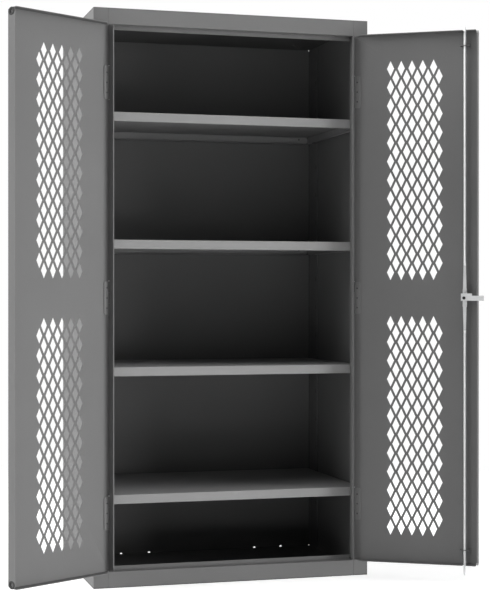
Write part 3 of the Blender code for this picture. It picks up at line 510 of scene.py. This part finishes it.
def add_shade_plate(shape, centre, across, out, half_across, half_rise, roundness):
    """A thin upright plate, round where the roundness is 1 and squarer below; out points to its front."""
    front = []
    back = []
    for index in range(SHADE_PLATE_STEPS):
        angle = math.tau * index / SHADE_PLATE_STEPS
        flat = math.copysign(abs(math.cos(angle)) ** roundness, math.cos(angle)) * half_across
        rise = math.copysign(abs(math.sin(angle)) ** roundness, math.sin(angle)) * half_rise
        place = centre + across * flat + Vector((0, 0, rise))
        front.append(shape.verts.new(place + out * SHADE_PLATE_SHEET / 2))
        back.append(shape.verts.new(place - out * SHADE_PLATE_SHEET / 2))
    shape.faces.new(front)
    shape.faces.new(back)
    for index in range(SHADE_PLATE_STEPS):
        after = (index + 1) % SHADE_PLATE_STEPS
        shape.faces.new((front[index], back[index], back[after], front[after]))


def build_painted_shade_plates():
    """Painted shade: dark plates in slots that hold no clip, and in the holes of the shelves' back flanges.
    """
    ahead = Vector((0, 1, 0))
    for word, side in (("left", -1), ("right", 1)):
        inward = Vector((-side, 0, 0))
        # Painted shade in the slots that hold no clip
        slots = bmesh.new()
        for row in SLOT_ROWS:
            for index in range(SLOT_COUNT):
                if index in CLIP_SLOTS:
                    continue
                centre = Vector((side * SLOT_SHADE_PLATE_ACROSS, row, SLOT_LOWEST + index * SLOT_PITCH))
                add_shade_plate(slots, centre, ahead, inward, SLOT_HALF_ACROSS, SLOT_HALF_RISE, SHADE_PLATE_ROUNDNESS)
        finish_piece(f"{word}_slot_painted_shade_plates", slots, SCREW_AND_SHADE_BLACK, "case")
    # Painted shade in the holes of the shelves' back flanges
    holes = bmesh.new()
    for index in CLIP_SLOTS:
        height = SLOT_LOWEST + index * SLOT_PITCH + SHELF_HOLE_ABOVE_SLOT
        for side in (-1, 1):
            centre = Vector((side * SHELF_HOLE_ACROSS, SHELF_HOLE_BACK, height))
            add_shade_plate(holes, centre, Vector((1, 0, 0)), -ahead, SHELF_HOLE_HALF, SHELF_HOLE_HALF, 1)
    finish_piece("shelf_hole_painted_shade_plates", holes, SCREW_AND_SHADE_BLACK, "case")


# Stage, light and camera

def blend(tree, share, first, second):
    """A mix of two shaders, all second where the share is 1."""
    mix = tree.nodes.new("ShaderNodeMixShader")
    tree.links.new(share, mix.inputs["Fac"])
    tree.links.new(first.outputs[0], mix.inputs[1])
    tree.links.new(second.outputs[0], mix.inputs[2])
    return mix


def build_stage():
    """A pale floor that keeps the shadow and runs into the white background."""
    mesh = bpy.data.meshes.new("studio_floor")
    corners = [(x * FLOOR_HALF, y * FLOOR_HALF, 0) for x, y in ((-1, -1), (1, -1), (1, 1), (-1, 1))]
    mesh.from_pydata(corners, [], [(0, 1, 2, 3)])
    floor = bpy.data.objects.new("studio_floor", mesh)
    bpy.context.scene.collection.objects.link(floor)
    floor.location.z = -FLOOR_DROP
    material = bpy.data.materials.new("studio_floor")
    material.use_nodes = True
    tree = material.node_tree
    tree.nodes.clear()
    output = tree.nodes.new("ShaderNodeOutputMaterial")
    diffuse = tree.nodes.new("ShaderNodeBsdfDiffuse")
    diffuse.inputs["Color"].default_value = (FLOOR_GREY, FLOOR_GREY, FLOOR_GREY, 1)
    glow = tree.nodes.new("ShaderNodeEmission")
    glow.inputs["Strength"].default_value = FLOOR_NEAR_GLOW
    near = tree.nodes.new("ShaderNodeAddShader")
    tree.links.new(diffuse.outputs[0], near.inputs[0])
    tree.links.new(glow.outputs[0], near.inputs[1])
    white = tree.nodes.new("ShaderNodeEmission")
    white.inputs["Strength"].default_value = FLOOR_FAR_GLOW
    reach = tree.nodes.new("ShaderNodeVectorMath")
    reach.operation = "LENGTH"
    tree.links.new(tree.nodes.new("ShaderNodeTexCoord").outputs["Object"], reach.inputs[0])
    fade = remap(tree, reach.outputs["Value"], (0.0, 1.0), (FLOOR_NEAR, FLOOR_FAR))
    shown = blend(tree, fade, near, white)
    seen = tree.nodes.new("ShaderNodeLightPath").outputs["Is Camera Ray"]
    tree.links.new(blend(tree, seen, diffuse, shown).outputs[0], output.inputs["Surface"])
    mesh.materials.append(material)


def either(tree, path, names):
    """1 where any of the named kinds of ray is asked about."""
    value = path.outputs[names[0]]
    for name in names[1:]:
        node = tree.nodes.new("ShaderNodeMath")
        node.operation = "MAXIMUM"
        tree.links.new(value, node.inputs[0])
        tree.links.new(path.outputs[name], node.inputs[1])
        value = node.outputs[0]
    return value


def build_world():
    """White for what the camera and the gloss see, and no light of its own: the lamps give that."""
    world = bpy.data.worlds.new("studio")
    bpy.context.scene.world = world
    world.use_nodes = True
    tree = world.node_tree
    tree.nodes.clear()
    output = tree.nodes.new("ShaderNodeOutputWorld")
    background = tree.nodes.new("ShaderNodeBackground")
    background.inputs["Color"].default_value = (1, 1, 1, 1)
    path = tree.nodes.new("ShaderNodeLightPath")
    seen = either(tree, path, ("Is Camera Ray", "Is Glossy Ray", "Is Transmission Ray"))
    tree.links.new(seen, background.inputs["Strength"])
    tree.links.new(background.outputs[0], output.inputs["Surface"])


def place_lamp(light, source, place=(0, 0, 0)):
    """Put a lamp in the scene, shining away from the direction of its source."""
    holder = bpy.data.objects.new(light.name, light)
    bpy.context.scene.collection.objects.link(holder)
    holder.location = place
    holder.rotation_euler = source.to_track_quat("Z", "Y").to_euler()
    holder.visible_camera = False
    holder.visible_glossy = False


def build_lamps():
    """Far soft lamps round the cabinet, and low strips that light its base and the undersides."""
    for name, lamp in LAMPS.items():
        light = bpy.data.lights.new(name, "SUN")
        light.angle = math.radians(lamp["spread"])
        light.energy = lamp["power"]
        turn = math.radians(lamp["azimuth"])
        rise = math.radians(lamp["rise"])
        source = (math.sin(turn) * math.cos(rise), -math.cos(turn) * math.cos(rise), math.sin(rise))
        place_lamp(light, Vector(source))
    for name, lamp in LOW_LAMPS.items():
        strip = bpy.data.lights.new(name, "AREA")
        strip.shape = "RECTANGLE"
        strip.size, strip.size_y = lamp["size"]
        strip.energy = lamp["power"]
        place_lamp(strip, Vector(lamp["place"]) - Vector(lamp["aim"]), lamp["place"])


def build_camera():
    """The camera, solved from the photograph's corners and diamond holes."""
    data = bpy.data.cameras.new("camera")
    data.sensor_fit = "AUTO"
    data.sensor_width = SENSOR
    data.lens = FOCAL_PIXELS / IMAGE_HEIGHT * SENSOR
    camera = bpy.data.objects.new("camera", data)
    bpy.context.scene.collection.objects.link(camera)
    camera.location = CAMERA_PLACE
    camera.rotation_euler = (math.pi / 2 + CAMERA_PITCH, 0, -CAMERA_YAW)
    bpy.context.scene.camera = camera


def main():
    """Dress the frame and set the scene."""
    dress_frame()
    build_bumpers()
    build_hinge_screws()
    build_painted_shade_plates()
    build_stage()
    build_world()
    build_lamps()
    build_camera()
    bpy.context.scene.view_settings.view_transform = "Standard"


main()
